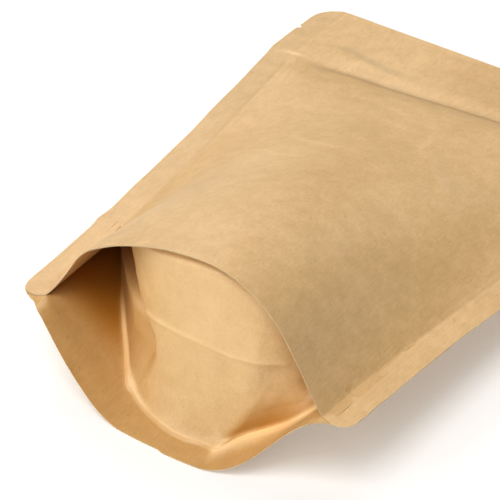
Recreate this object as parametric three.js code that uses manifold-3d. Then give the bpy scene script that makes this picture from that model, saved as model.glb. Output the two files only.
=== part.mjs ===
// Kraft paper stand-up food pouch, filled, shut and lying on its back panel.
// Millimetres. X runs across the pouch, Y from its gusseted bottom to its header, Z up.
// Two paper panels are heat sealed along both sides, a press-to-close zip shuts the
// top, and a folded gusset bulges in the open hollow between the two bottom skirts.

import * as THREE from 'three';
import { mergeVertices } from 'three/addons/utils/BufferGeometryUtils.js';
import Module from 'manifold-3d';

// ---- overall size --------------------------------------------------------------------
const HEADER_WIDTH = 140;      // flat width of the pouch, kept only at the header
const SEAM_LENGTH = 178;       // bottom corner to top edge, along a side seal
const MOUTH_WIDTH = 111;       // straight across between the corners: filling draws them in
const WIDTH_CURVE = 1.5;       // how the side spreads from the mouth up to the zip

// ---- seals, zip and header -----------------------------------------------------------
const SIDE_SEAL = 8;
const PAPER = 1;               // both sealed layers together, and each bottom skirt
const SEAL_DROOP = 0.9;        // how far a seal's outer edge hangs
const ZIP_LOW = 30.5;          // below the top edge
const ZIP_HIGH = 21.5;
const ZIP_RELIEF = 0.7;
const ZIP_TRACKS = 2;
const ZIP_END_FADE = 12;       // the zip is crushed flat where it meets the side seals
const HEADER_CORNER = 9;
const BOTTOM_CORNER = 5;
const NOTCH_BELOW_TOP = 16;
const NOTCH_WIDTH = 2.4;
const NOTCH_DEPTH = 2;

// ---- filled shape --------------------------------------------------------------------
const SEAM_HEIGHT_BOTTOM = 25.5;
const SEAM_HEIGHT_TOP = 13.4;
const FRONT_ARCH = 31.3;       // front panel above the seam, at the bottom edge
const FRONT_ARCH_FLAT = 3.3;   // higher is flatter over the middle
const FRONT_ARCH_LENS = 2.1;   // the same, once past the stiff gusset
const LENS_FROM = 80;
const FRONT_ARCH_EASE = 1.35;  // higher is softer where the arch meets the seal
const BACK_ARCH_FLAT = 3.5;
const BACK_ARCH_EASE = 1.9;
const BACK_PRESS = 0.8;        // paper pressed flat where the pouch rests
const FALL_POWER = 1.5;        // how roundly the filling thins out towards the zip
const REST_SHARE = 0.5;        // share of the length that lies on the surface
const FRONT_LIP = 7.4;         // the arched front edge draws back, the back one pokes out
const BACK_LIP = -12.2;
const LIP_CURVE = 2.2;
const LIP_BLEND = 60;

// ---- gusset --------------------------------------------------------------------------
const GUSSET_DEPTH = 40;       // where the folded gusset ends in the side seals
const BOTTOM_SEAL = 7;         // narrowest width of the curved bottom seal
const BACK_SEAL_CURVE = 1.7;
const GUSSET_FRONT = 7.9;      // how far out the middle of the gusset bulges
const GUSSET_ROUND = 2.2;
const GUSSET_SWELL = 3;
const GUSSET_TUCK = 0.97;      // height share above which it tucks back to the front seal
const HOLLOW_REACH = 0.95;     // share of the width between the seals that stands open
const CLEAR_OUT = -60;         // past the bottom edge, where the hollow is surely open

// ---- how finely the surfaces are divided ----------------------------------------------
const BODY_COLUMNS = 34;
const SKIRT_ROWS = 4;
const FILLED_ROWS = 20;
const ZIP_ROWS = 8;
const HEADER_ROWS = 2;
const CORNER_ROWS = 5;
const HOLLOW_GRID = { across: 28, along: 10, up: 14 };
const WELD = 1e-4;

const ZIP_START = SEAM_LENGTH - ZIP_LOW;
const ZIP_END = SEAM_LENGTH - ZIP_HIGH;
const ORIGIN_SHIFT = (SEAM_LENGTH + BACK_LIP) / 2;

const clamp = THREE.MathUtils.clamp;
const lerp = THREE.MathUtils.lerp;
const smoothstep = THREE.MathUtils.smoothstep;

// Half the width out to the cut edge, before any corner is rounded.
function halfWidth(y) {
  const spread = clamp(y / ZIP_START, 0, 1) ** WIDTH_CURVE;
  return lerp(MOUTH_WIDTH, HEADER_WIDTH, spread) / 2;
}

// How much a rounded corner takes off the side, a given way along from the end.
function cornerLoss(distanceFromEnd, radius) {
  const short = clamp(radius - distanceFromEnd, 0, radius);
  return radius - Math.sqrt(radius ** 2 - short ** 2);
}

function cutHalfWidth(y) {
  const top = cornerLoss(SEAM_LENGTH - y, HEADER_CORNER);
  const bottom = cornerLoss(y, BOTTOM_CORNER);
  return halfWidth(y) - top - bottom;
}

function sealInner(y) {
  return halfWidth(y) - SIDE_SEAL;
}

function seamHeight(y) {
  return lerp(SEAM_HEIGHT_BOTTOM, SEAM_HEIGHT_TOP, clamp(y / SEAM_LENGTH, 0, 1));
}

// Arch over the width: one in the middle, nothing at the seals.
function arch(t, flat, ease) {
  return Math.max(0, 1 - Math.min(1, Math.abs(t)) ** flat) ** ease;
}

// Thickness left at a place along the pouch: full at the bottom, none at the zip.
function filling(y) {
  return 1 - clamp(y / ZIP_START, 0, 1) ** FALL_POWER;
}

function zipRelief(x, y) {
  const along = clamp((y - ZIP_START) / (ZIP_END - ZIP_START), 0, 1);
  const fade = clamp((1 - Math.abs(x) / sealInner(y)) * ZIP_END_FADE, 0, 1);
  return ZIP_RELIEF * fade * Math.sin(Math.PI * ZIP_TRACKS * along) ** 2;
}

// Middle plane of the sealed layers, drooping towards the cut edge.
function sealPlane(x, y) {
  const past = clamp((Math.abs(x) - sealInner(y)) / SIDE_SEAL, 0, 1);
  return seamHeight(y) - SEAL_DROOP * past;
}

function frontHeight(x, y) {
  const flat = lerp(FRONT_ARCH_FLAT, FRONT_ARCH_LENS, smoothstep(y, 0, LENS_FROM));
  const swell = FRONT_ARCH * filling(y) * arch(x / sealInner(y), flat, FRONT_ARCH_EASE);
  return sealPlane(x, y) + PAPER / 2 + swell + zipRelief(x, y);
}

// The underside lies on the surface up to REST_SHARE, then lifts to meet the zip.
function backHeight(x, y) {
  const lift = smoothstep(y, REST_SHARE * SEAM_LENGTH, ZIP_START);
  const edge = seamHeight(y) - PAPER / 2;
  const lowest = edge * lift;
  const pressed = edge - lowest + BACK_PRESS * (1 - lift);
  const sag = pressed * arch(x / sealInner(y), BACK_ARCH_FLAT, BACK_ARCH_EASE);
  return Math.max(lowest, sealPlane(x, y) - PAPER / 2 - sag) - zipRelief(x, y);
}

// ---- dividing the panels ---------------------------------------------------------------

// Stations along the pouch, each stretch with its own number of rows.
function stations() {
  const spans = [
    { to: BOTTOM_CORNER, rows: SKIRT_ROWS },
    { to: ZIP_START, rows: FILLED_ROWS },
    { to: ZIP_END, rows: ZIP_ROWS },
    { to: SEAM_LENGTH - HEADER_CORNER, rows: HEADER_ROWS },
  ];
  const list = [0];
  for (const { to, rows } of spans) {
    const from = list[list.length - 1];
    for (let row = 1; row <= rows; row += 1) list.push(lerp(from, to, row / rows));
  }
  for (let row = 1; row <= CORNER_ROWS; row += 1) {
    const turn = (row / CORNER_ROWS) * Math.PI / 2;
    list.push(SEAM_LENGTH - HEADER_CORNER * (1 - Math.sin(turn)));
  }
  return list;
}

// Share of the sealed-in width at a column; the first and last column are the seals.
function columnShare(column) {
  const inner = clamp((column - 1) / (BODY_COLUMNS - 2), 0, 1);
  return Math.sin((inner - 0.5) * Math.PI);
}

function columnX(column, y) {
  if (column === 0) return -cutHalfWidth(y);
  if (column === BODY_COLUMNS) return cutHalfWidth(y);
  return columnShare(column) * Math.min(sealInner(y), cutHalfWidth(y));
}

// The arched edge's shift along Y, none at the corners, fading out up the panel.
function lipShift(column, station, lip) {
  const fromMiddle = Math.abs(columnX(column, 0)) / cutHalfWidth(0);
  const fade = clamp(1 - station / LIP_BLEND, 0, 1) ** 2;
  return lip * (1 - fromMiddle ** LIP_CURVE) * fade;
}

// ---- closed bodies ---------------------------------------------------------------------

// The six sides of a bent block. place(i, j, k) gives the point of each division.
function bentBlock(place, across, along, up) {
  const points = [];
  const quad = (a, b, c, d) => points.push(a, b, c, a, c, d);
  for (let i = 0; i < across; i += 1) {
    for (let j = 0; j < along; j += 1) {
      quad(place(i, j, up), place(i + 1, j, up), place(i + 1, j + 1, up), place(i, j + 1, up));
      quad(place(i, j, 0), place(i, j + 1, 0), place(i + 1, j + 1, 0), place(i + 1, j, 0));
    }
    for (let k = 0; k < up; k += 1) {
      quad(place(i, 0, k), place(i + 1, 0, k), place(i + 1, 0, k + 1), place(i, 0, k + 1));
      quad(place(i, along, k), place(i, along, k + 1), place(i + 1, along, k + 1),
        place(i + 1, along, k));
    }
  }
  for (let j = 0; j < along; j += 1) {
    for (let k = 0; k < up; k += 1) {
      quad(place(0, j, k), place(0, j, k + 1), place(0, j + 1, k + 1), place(0, j + 1, k));
      quad(place(across, j, k), place(across, j + 1, k), place(across, j + 1, k + 1),
        place(across, j, k + 1));
    }
  }
  const geometry = new THREE.BufferGeometry().setFromPoints(points);
  return mergeVertices(geometry, WELD);
}

function filledPouch() {
  const rows = stations();
  const place = (i, j, k) => {
    const front = k === 1;
    const y = rows[j] + lipShift(i, rows[j], front ? FRONT_LIP : BACK_LIP);
    const x = columnX(i, y);
    return new THREE.Vector3(x, y, front ? frontHeight(x, y) : backHeight(x, y));
  };
  return bentBlock(place, BODY_COLUMNS, rows.length - 1, 1);
}

// How far along Y the gusset stands, for a place across (t) and up (w) the hollow.
function gussetY(t, w) {
  const side = Math.abs(t);
  const backSeal = lerp(BACK_LIP + BOTTOM_SEAL, GUSSET_DEPTH, side ** BACK_SEAL_CURVE);
  const frontSeal = lerp(FRONT_LIP + BOTTOM_SEAL, GUSSET_DEPTH, side ** BACK_SEAL_CURVE);
  const bulge = lerp(GUSSET_FRONT, GUSSET_DEPTH, side ** GUSSET_ROUND);
  const rising = lerp(backSeal, bulge, 1 - (1 - w) ** GUSSET_SWELL);
  return rising + (frontSeal - bulge) * smoothstep(w, GUSSET_TUCK, 1);
}

// The open space between the two skirts, in front of the gusset.
function gussetHollow() {
  const { across, along, up } = HOLLOW_GRID;
  const place = (i, j, k) => {
    const t = Math.sin((i / across - 0.5) * Math.PI) * HOLLOW_REACH;
    const w = Math.sin((k / up) * Math.PI / 2);
    const y = lerp(CLEAR_OUT, gussetY(t, w), Math.sin((j / along) * Math.PI / 2));
    const x = t * sealInner(y);
    const z = lerp(backHeight(x, y) + PAPER, frontHeight(x, y) - PAPER, w);
    return new THREE.Vector3(x, y, z);
  };
  return bentBlock(place, across, along, up);
}

// Small V nicked into a header edge, to start a tear; side is -1 or 1.
function tearNotch(side) {
  const tip = HEADER_WIDTH / 2 - NOTCH_DEPTH;
  const outside = HEADER_WIDTH / 2 + NOTCH_DEPTH;
  const reach = NOTCH_WIDTH / 2 * (outside - tip) / NOTCH_DEPTH;
  const shape = new THREE.Shape();
  shape.moveTo(tip, 0);
  shape.lineTo(outside, -reach);
  shape.lineTo(outside, reach);
  shape.closePath();
  const notch = new THREE.ExtrudeGeometry(shape, { depth: SEAM_HEIGHT_BOTTOM, bevelEnabled: false });
  if (side < 0) notch.rotateZ(Math.PI);
  return notch.translate(0, SEAM_LENGTH - NOTCH_BELOW_TOP, 0);
}

// ---- joining and cutting ----------------------------------------------------------------

const wasm = await Module();
wasm.setup();

function toSolid(geometry) {
  const bare = geometry.clone();
  bare.deleteAttribute('normal');
  bare.deleteAttribute('uv');
  const welded = mergeVertices(bare, WELD);
  return new wasm.Manifold(new wasm.Mesh({
    numProp: 3,
    vertProperties: new Float32Array(welded.attributes.position.array),
    triVerts: new Uint32Array(welded.index.array),
  }));
}

function toGeometry(solid) {
  const { vertProperties, triVerts } = solid.getMesh();
  const geometry = new THREE.BufferGeometry();
  geometry.setAttribute('position', new THREE.BufferAttribute(vertProperties, 3));
  geometry.setIndex(new THREE.BufferAttribute(triVerts, 1));
  geometry.computeVertexNormals();
  return geometry;
}

function pouchGeometry() {
  let pouch = toSolid(filledPouch()).subtract(toSolid(gussetHollow()));
  for (const side of [-1, 1]) pouch = pouch.subtract(toSolid(tearNotch(side)));
  return toGeometry(pouch);
}

const kraftPaper = new THREE.MeshStandardMaterial({
  color: 0xd9b483,
  roughness: 0.78,
  metalness: 0,
});

const pouch = new THREE.Mesh(pouchGeometry(), kraftPaper);
pouch.name = 'pouch';
pouch.position.set(0, -ORIGIN_SHIFT, 0);

const bag = new THREE.Group();
bag.add(pouch);

export default bag;
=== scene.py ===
# %% [markdown]
# # A kraft paper pouch, puffed up and lying on its back
#
# This lesson dresses a plain solid as a real stand-up pouch. Such a pouch is three
# sheets of brown paper laminate: a front panel, a back panel and a gusset that is
# folded in at the bottom. Heat joins them along both sides and along a curved line
# at the bottom, and a press-to-close zip crosses the top. Here each sheet is a real
# sheet with a thickness and a cut edge, shaped by the same rules as the solid.

# %% Load the solid frame
import math
import bpy
import numpy as np
from mathutils import Matrix, Vector


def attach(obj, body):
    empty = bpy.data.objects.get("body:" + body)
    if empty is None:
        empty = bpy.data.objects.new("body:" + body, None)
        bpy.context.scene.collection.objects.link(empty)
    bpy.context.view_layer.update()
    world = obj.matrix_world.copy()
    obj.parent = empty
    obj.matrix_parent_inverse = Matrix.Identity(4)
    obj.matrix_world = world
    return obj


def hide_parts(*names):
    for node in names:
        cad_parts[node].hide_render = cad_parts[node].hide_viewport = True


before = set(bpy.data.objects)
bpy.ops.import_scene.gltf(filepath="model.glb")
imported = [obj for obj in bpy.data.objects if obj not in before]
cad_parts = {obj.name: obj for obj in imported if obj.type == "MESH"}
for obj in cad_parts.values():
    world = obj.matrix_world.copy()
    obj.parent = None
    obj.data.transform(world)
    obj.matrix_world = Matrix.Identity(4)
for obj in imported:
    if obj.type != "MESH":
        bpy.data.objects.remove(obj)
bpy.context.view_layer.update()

# %% [markdown]
# ## Sizes
#
# All sizes are in millimetres, as a bag maker would write them, and become metres
# only when a mesh is made. Y is counted from the bottom corners up to the header.

# %% Sizes of the pouch
MM = 0.001
HEADER_WIDTH = 140.0
SEAM_LENGTH = 178.0  # of a side seal, from the bottom corner to the top edge
MOUTH_WIDTH = 111.0  # between the two bottom corners
WIDTH_CURVE = 1.5
SIDE_SEAL = 8.0
SEAL_DROOP = 0.9
HEADER_CORNER = 9.0
BOTTOM_CORNER = 5.0
NOTCH_BELOW_TOP = 16.0
NOTCH_AT = SEAM_LENGTH - NOTCH_BELOW_TOP
NOTCH_HALF_WIDTH = 1.1
NOTCH_DEPTH = 1.3
PANEL = 0.22  # thickness of one sheet of laminate
SEAM_HEIGHT_BOTTOM = 25.5
SEAM_HEIGHT_TOP = 13.4
HEADER_SAG = 0.5
ZIP_START = SEAM_LENGTH - 30.5
ZIP_END = SEAM_LENGTH - 21.5

# %% Sizes of the arches and the lips
FRONT_ARCH = 31.3  # height of the front panel's arch at the mouth
FRONT_ARCH_FLAT = 3.3  # how flat its top is there, as a power
FRONT_ARCH_LENS = 2.1  # the same from LENS_FROM up, where the arch is a plain lens
LENS_FROM = 80.0
FRONT_ARCH_EASE = 1.35  # how softly it leaves the side seals
BACK_ARCH_FLAT = 3.5
BACK_ARCH_EASE = 1.9
BACK_PRESS = 0.8  # how far the back would sag if the table let it
FALL_POWER = 1.5
REST_SHARE = 0.5  # up to here the back rests on the table
FRONT_LIP = 7.4  # the middle of the front edge lies this far up
BACK_LIP = -12.2  # and the middle of the back edge this far out
LIP_CURVE = 2.2
LIP_BLEND = 60.0

# %% Sizes of the gusset
GUSSET_DEPTH = 40.0
BOTTOM_SEAL = 7.0
BOTTOM_SEAL_CURVE = 1.7
GUSSET_FRONT = 7.9  # where the belly stands in the middle of the mouth
GUSSET_ROUND = 2.2
GUSSET_ROUND_RIGHT = 3.2
GUSSET_SWELL = 3.0
GUSSET_SWELL_RIGHT = 1.15
GUSSET_TUCK = 0.97

ORIGIN_SHIFT = (SEAM_LENGTH + BACK_LIP) / 2
print("pouch", HEADER_WIDTH, "wide,", SEAM_LENGTH - BACK_LIP, "long")

# %% [markdown]
# ## The rules of the shape
#
# A filled pouch keeps its flat width only at the header. Lower down the filling
# lifts the panels into arches, and the sides draw in to give them the paper. These
# small functions say how wide, how high and how full the pouch is at any place.
# They take whole arrays of places, so one call shapes a whole sheet. Where a size
# below is a pair, it says where an ease starts and stops, or a bump's centre and width.


# %% Helpers
LINE_SAMPLES = 9


def mix(low, high, share):
    return low + (high - low) * share


def ease(value, start, stop):
    share = np.clip((value - start) / (stop - start), 0, 1)
    return share * share * (3 - 2 * share)


def plateau(value, start, full, ebb, stop):
    """One from full to ebb, with a soft rise from start and a soft fall to stop."""
    return ease(value, start, full) * (1 - ease(value, ebb, stop))


def bump(value, centre, width):
    return np.exp(-(((value - centre) / width) ** 2))


def bumps(value, places):
    """Several bumps at once, each given as its height, its centre and its width."""
    return sum(size * bump(value, centre, width) for size, centre, width in places)


def steps(x, places):
    """Soft steps, each given as its height, its side, and where it starts and stops."""
    return sum(size * ease(side * x, start, stop) for size, side, start, stop in places)


def soft_line(value, places, soft):
    """A line through the given places, with its corners rounded off."""
    at, heights = zip(*places)
    shifts = np.linspace(-1, 1, LINE_SAMPLES)
    return sum(np.interp(value + soft * shift, at, heights) for shift in shifts) / LINE_SAMPLES


def new_object(name, data):
    """Puts a mesh, a lamp or a camera into the scene."""
    made = bpy.data.objects.new(name, data)
    bpy.context.scene.collection.objects.link(made)
    return made


# %% Width, seam and arch
def half_width(y):
    spread = np.clip(y / ZIP_START, 0, 1) ** WIDTH_CURVE
    return mix(MOUTH_WIDTH, HEADER_WIDTH, spread) / 2


def corner_loss(from_end, radius):
    short = np.clip(radius - from_end, 0, radius)
    return radius - np.sqrt(radius**2 - short**2)


def cut_half_width(y):
    top = corner_loss(SEAM_LENGTH - y, HEADER_CORNER)
    bottom = corner_loss(y, BOTTOM_CORNER)
    from_notch = np.abs(y - NOTCH_AT)
    notch = NOTCH_DEPTH * np.clip(1 - from_notch / NOTCH_HALF_WIDTH, 0, 1)
    return half_width(y) - top - bottom - notch


def seal_inner(y):
    return half_width(y) - SIDE_SEAL


def arch(t, flat, soft):
    return np.maximum(0, 1 - np.minimum(1, np.abs(t)) ** flat) ** soft


def filling(y):
    return 1 - np.clip(y / ZIP_START, 0, 1) ** FALL_POWER


print("half the width at the mouth and the zip:", half_width(0.0), half_width(ZIP_START))

# %% [markdown]
# The side seals are the stiffest lines of the pouch, but they are not straight. They
# droop a little outwards, sag at the header, and ripple where the heat bar stretched
# the paper. Both panels follow this plane, so that they stay together. Only in the
# header does the back panel keep to the plain seam height, without the droop.

# %% Plane of the side seals
RIPPLE = 0.16
RIPPLE_LONG = 7.3  # millimetres for one radian of the long wave
RIPPLE_SHORT = 3.9
SHORT_SHARE = 0.7
RIPPLE_SLANT = 0.08
LEFT_DROOP_SHARE = 0.4
RIGHT_CORNER_PUCKER = 0.35
PUCKER_AT = 12.0
PUCKER_REACH = 5.0
PUCKER_LENGTH = 1.9


def seam_height(y):
    sloped = mix(SEAM_HEIGHT_BOTTOM, SEAM_HEIGHT_TOP, np.clip(y / SEAM_LENGTH, 0, 1))
    return sloped - HEADER_SAG * ease(y, ZIP_START, SEAM_LENGTH)


def seal_plane(x, y):
    past = np.clip((np.abs(x) - seal_inner(y)) / SIDE_SEAL, 0, 1)
    side = np.sign(x)
    short_wave = np.sin(y / RIPPLE_SHORT + 2 * side + RIPPLE_SLANT * x)
    ripple = np.sin(y / RIPPLE_LONG + side) + SHORT_SHARE * short_wave
    pucker = bump(y, PUCKER_AT, PUCKER_REACH) * np.sin(y / PUCKER_LENGTH) * (x > 0)
    droop = np.where(x < 0, LEFT_DROOP_SHARE, 1.0) * SEAL_DROOP
    return seam_height(y) + past * (RIPPLE * ripple + RIGHT_CORNER_PUCKER * pucker - droop)


print("seam height at both ends:", seam_height(0.0), seam_height(SEAM_LENGTH))

# %% [markdown]
# The zip is two press-together strips behind the paper. Outside it shows as a band
# that stands a little proud. Along its lower side the filling lifts the panel again,
# which leaves a sharp valley there, and along its upper side lies a softer groove.
# The side seals show as a faint step where the heat bar ended.

# %% Zip band and seal lines
ZIP_VALLEY = 0.55
ZIP_VALLEY_REACH = 9.0
ZIP_VALLEY_SOFT = 1.2
ZIP_VALLEY_POWER = 0.7
ZIP_GROOVE = 0.12
ZIP_GROOVE_WIDTH = 1.8
ZIP_FADES = (0.84, 0.97)  # shares of the width where its ends fade out
ZIP_DIP = 2.6
ZIP_DIPS_AT = (34, 58)
ZIP_SPREADS_AT = (35, 60)
ZIP_HIGH_WAVES = [(2.2, -48, 11), (-0.8, -26, 12)]
SEAL_STEP = 0.08
SEAL_PROFILE = [(1, 1.2, 0.8), (-1, 0, 0.6)]
SEAL_STEP_STARTS = (20, 45)


def zip_low_line(x):
    return ZIP_START - ZIP_DIP * ease(np.abs(x), *ZIP_DIPS_AT)


def zip_high_line(x):
    return ZIP_END + ease(np.abs(x), *ZIP_SPREADS_AT) + bumps(x, ZIP_HIGH_WAVES)


def zip_relief(x, y):
    inside = 1 - ease(np.abs(x) / seal_inner(y), *ZIP_FADES)
    above = y - zip_low_line(x)
    up = y - zip_high_line(x)
    valley = np.maximum(0, 1 - np.hypot(above, ZIP_VALLEY_SOFT) / ZIP_VALLEY_REACH)
    sunk = ZIP_VALLEY * ease(valley, 0, 1) ** ZIP_VALLEY_POWER
    return -inside * (sunk + ZIP_GROOVE * bump(up, 0, ZIP_GROOVE_WIDTH))


def seal_relief(x, y):
    past = np.abs(x) - seal_inner(y)
    return SEAL_STEP * bumps(past, SEAL_PROFILE) * ease(y, *SEAL_STEP_STARTS)


print("zip band", zip_high_line(0.0) - zip_low_line(0.0), "wide in the middle")

# %% [markdown]
# No filled pouch is quite even. Seen from its mouth this one is fuller right of the
# middle and flatter to the left, and its right skirt turns down early.

# %% Where the panels are uneven
HEADER_CROWN = 3.0  # the zip band is highest a little right of the middle
CROWN_ACROSS = (18, 32)
FRONT_CROWN_FROM = 110
BACK_CROWN_FROM = 125
FREE_POWER = 6
FRONT_UNEVEN = [(1.2, 9, 11), (-1.9, -19, 11), (-3.6, 41, 7), (2.0, -35.5, 5.0)]
FRONT_UNEVEN_NEAR = (0, 40)
BACK_UNEVEN = [(1.2, 37, 8), (0.8, -30, 8)]
BACK_UNEVEN_NEAR = (-10, 30)
BACK_CORNER_DROP = 1.6  # the back's bottom corners hang lower
BACK_CORNER_ACROSS = (44, 50)
BACK_CORNER_TOP = 2
BACK_CORNER_LENGTH = 5


def header_crown(x, y, from_y):
    rising = plateau(y, from_y, ZIP_START, ZIP_START, SEAM_LENGTH)
    return HEADER_CROWN * bump(x, *CROWN_ACROSS) * rising


def front_uneven(x, y):
    free = arch(x / seal_inner(y), FREE_POWER, 1)
    near_mouth = bumps(x, FRONT_UNEVEN)
    return free * bump(y, *FRONT_UNEVEN_NEAR) * near_mouth + header_crown(x, y, FRONT_CROWN_FROM)


def back_uneven(x, y):
    free = arch(x / seal_inner(y), FREE_POWER, 1)
    near_mouth = bumps(x, BACK_UNEVEN)
    below = ease(BACK_CORNER_TOP - y, 0, BACK_CORNER_LENGTH)
    corners = BACK_CORNER_DROP * below * ease(np.abs(x), *BACK_CORNER_ACROSS)
    crown = header_crown(x, y, BACK_CROWN_FROM)
    return free * bump(y, *BACK_UNEVEN_NEAR) * near_mouth + crown - corners


# %% Front and back panel heights
BACK_ZIP_FADE = 6  # how far below the zip its relief starts on the back


def front_height(x, y):
    flat = mix(FRONT_ARCH_FLAT, FRONT_ARCH_LENS, ease(y, 0, LENS_FROM))
    swell = FRONT_ARCH * filling(y) * arch(x / seal_inner(y), flat, FRONT_ARCH_EASE)
    relief = zip_relief(x, y) + seal_relief(x, y) + front_uneven(x, y)
    return seal_plane(x, y) + PANEL + swell + relief


def back_height(x, y):
    lift = ease(y, REST_SHARE * SEAM_LENGTH, ZIP_START)
    edge = seam_height(y) - PANEL
    lowest = edge * lift
    pressed = edge - lowest + BACK_PRESS * (1 - lift)
    sag = pressed * arch(x / seal_inner(y), BACK_ARCH_FLAT, BACK_ARCH_EASE)
    under = np.maximum(lowest, seal_plane(x, y) - PANEL - sag)
    relief = zip_relief(x, y) * ease(y, ZIP_START - BACK_ZIP_FADE, ZIP_START)
    return under + relief + back_uneven(x, y)


print("front panel", round(float(front_height(0.0, FRONT_LIP)), 1), "high over the mouth")

# %% [markdown]
# ## Where the points of a sheet go
#
# A sheet is a grid of points. Rows lie close together where something small crosses
# the paper, such as the zip lines and the notch, and further apart elsewhere. The
# lower edge of each panel is not straight either: the puffed front pulls its edge
# back, and the back panel's edge sticks out as a tongue under the mouth.

# %% Rows of a panel
ROW_STEPS = [  # how far each stretch goes, and its step
    (BOTTOM_CORNER, 0.35),
    (ZIP_START - 14, 1.6),
    (ZIP_END + 3, 0.45),
    (NOTCH_AT - NOTCH_HALF_WIDTH, 0.5),
    (NOTCH_AT + NOTCH_HALF_WIDTH, 0.28),
    (SEAM_LENGTH - HEADER_CORNER, 1.0),
]
HEADER_CORNER_ROWS = 18


def stretch(start, stop, step):
    count = max(2, int(round(abs(stop - start) / step)))
    return np.linspace(start, stop, count, endpoint=False)


def panel_rows():
    starts = [0, *(stop for stop, _ in ROW_STEPS)]
    rows = [stretch(start, stop, step) for start, (stop, step) in zip(starts, ROW_STEPS)]
    turn = np.linspace(0, math.pi / 2, HEADER_CORNER_ROWS)
    return np.concatenate([*rows, SEAM_LENGTH - HEADER_CORNER * (1 - np.sin(turn))])


print("a panel has", len(panel_rows()), "rows")

# %% Cut edges
FRONT_TRIMS = [(-0.3, -1, 38, 48), (-0.9, -1, 45, 50), (-0.9, 1, 38, 48)]
BACK_TRIMS = [(1.9, -1, 45, 50), (2.4, 1, 43, 50)]
LEFT_SHY = 0.6  # how far the tongue falls short of its curve
LEFT_SHY_ACROSS = (-44, -25, -0.5, 2.5)
RIGHT_SHY = 3.4
RIGHT_SHY_ACROSS = (37, 11)


def edge_rule(x, lip):
    return lip * (1 - np.minimum(1, np.abs(x) / half_width(0.0)) ** LIP_CURVE)


def front_edge(x):
    return edge_rule(x, FRONT_LIP) + steps(x, FRONT_TRIMS)


def back_edge(x):
    shy = LEFT_SHY * plateau(x, *LEFT_SHY_ACROSS) + RIGHT_SHY * bump(x, *RIGHT_SHY_ACROSS)
    return edge_rule(x, BACK_LIP) + shy + steps(x, BACK_TRIMS)


print("the back edge sticks out", round(float(front_edge(0.0) - back_edge(0.0)), 1), "further")

# %% Panel points
INNER_COLUMNS = 168
COLUMN_CROWDING = 0.2  # how much closer the columns stand towards the seals
SEAL_COLUMNS = 10
LEAST_SEAL = 0.9  # keeps the seal columns apart where a corner is cut round
SIDE_KINK = 0.7  # the small kink low on the left cut edge
SIDE_KINK_ALONG = (41, 3.5)


def panel_columns():
    """For each column its share of the inner half width, with its side, and of the seal."""
    inner = np.linspace(-1, 1, INNER_COLUMNS + 1)
    inner = inner * (1 + COLUMN_CROWDING - COLUMN_CROWDING * inner**2)
    past = np.linspace(0, 1, SEAL_COLUMNS + 1)[1:]
    inner_share = np.concatenate([-np.ones(SEAL_COLUMNS), inner, np.ones(SEAL_COLUMNS)])
    seal_share = np.concatenate([past[::-1], np.zeros(INNER_COLUMNS + 1), past])
    return inner_share, seal_share


def panel_points(height, edge):
    """A panel as rows of points; height says how high it lies and edge where it is cut."""
    inner_share, seal_share = panel_columns()
    side = np.sign(inner_share)
    station = panel_rows()[:, None]
    seal_at_edge = cut_half_width(0.0) - seal_inner(0.0)
    at_edge = np.abs(inner_share) * seal_inner(0.0) + seal_share * seal_at_edge
    fade = np.clip(1 - station / LIP_BLEND, 0, 1) ** 2
    y = station + edge(at_edge * side) * fade
    width = np.minimum(seal_inner(y), cut_half_width(station) - LEAST_SEAL)
    x = np.abs(inner_share) * width + seal_share * (cut_half_width(station) - width)
    x = x * side
    x = x - SIDE_KINK * seal_share * (x < 0) * bump(y, *SIDE_KINK_ALONG)
    return np.stack([x, y, height(x, y)], axis=-1)


front_points = panel_points(front_height, front_edge)
back_points = panel_points(back_height, back_edge)
print("front panel from y", round(float(front_points[..., 1].min()), 1),
      "and back panel from y", round(float(back_points[..., 1].min()), 1))

# %% [markdown]
# Each point of a sheet also carries three numbers. "freedom" says how free the paper
# is there: sealed paper is held flat against its neighbour, so only free paper may
# buckle. "crease" is above zero where the paper is worn pale and where a highlight is
# painted, and below zero where shade is painted along lines. The third number is the
# painted shade that a place gets inside the hollow.


# %% Turning rows of points into a sheet
def sheet_mesh(name, points, outside_up, freedom, wear_and_painted_light, painted_shade=0.0):
    rows, columns = points.shape[:2]
    number = np.arange(rows * columns).reshape(rows, columns)
    corners = [number[:-1, :-1], number[:-1, 1:], number[1:, 1:], number[1:, :-1]]
    if not outside_up:
        corners = corners[::-1]
    faces = np.stack(corners, axis=-1).reshape(-1, 4)
    placed = (points.reshape(-1, 3) - [0, ORIGIN_SHIFT, 0]) * MM
    mesh = bpy.data.meshes.new(name)
    mesh.from_pydata(placed.tolist(), [], faces.tolist())
    mesh.update()
    # the crease number holds wear, painted highlight and painted line shade; the last number holds
    # painted shade in the hollow
    for title, values in (("freedom", freedom), ("crease", wear_and_painted_light), ("painted_shade", painted_shade)):
        layer = mesh.attributes.new(title, "FLOAT", "POINT")
        layer.data.foreach_set("value", np.broadcast_to(values, (rows, columns)).ravel())
    print(name, "sheet of", rows, "by", columns, "points")
    return new_object(name, mesh)


# %% Where a panel is free
HELD_BY_SEAL = (0.75, 1.0)  # shares of the width where the seal starts to hold it
HELD_BY_ZIP = 0.7
NEAR_ZIP = (ZIP_START - 8, ZIP_START)
ABOVE_GUSSET_SEAL = (2, 26)
BACK_FREE_FROM = (45, 100)


def seal_line(t, lip):
    """How far up a skirt the gusset is sealed to it."""
    return mix(lip + BOTTOM_SEAL, GUSSET_DEPTH, np.abs(t) ** BOTTOM_SEAL_CURVE)


def panel_freedom(points, from_y, to_y):
    x, y = points[..., 0], points[..., 1]
    inside = 1 - ease(np.abs(x) / seal_inner(y), *HELD_BY_SEAL)
    return inside * ease(y, from_y, to_y) * (1 - HELD_BY_ZIP * ease(y, *NEAR_ZIP))


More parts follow.
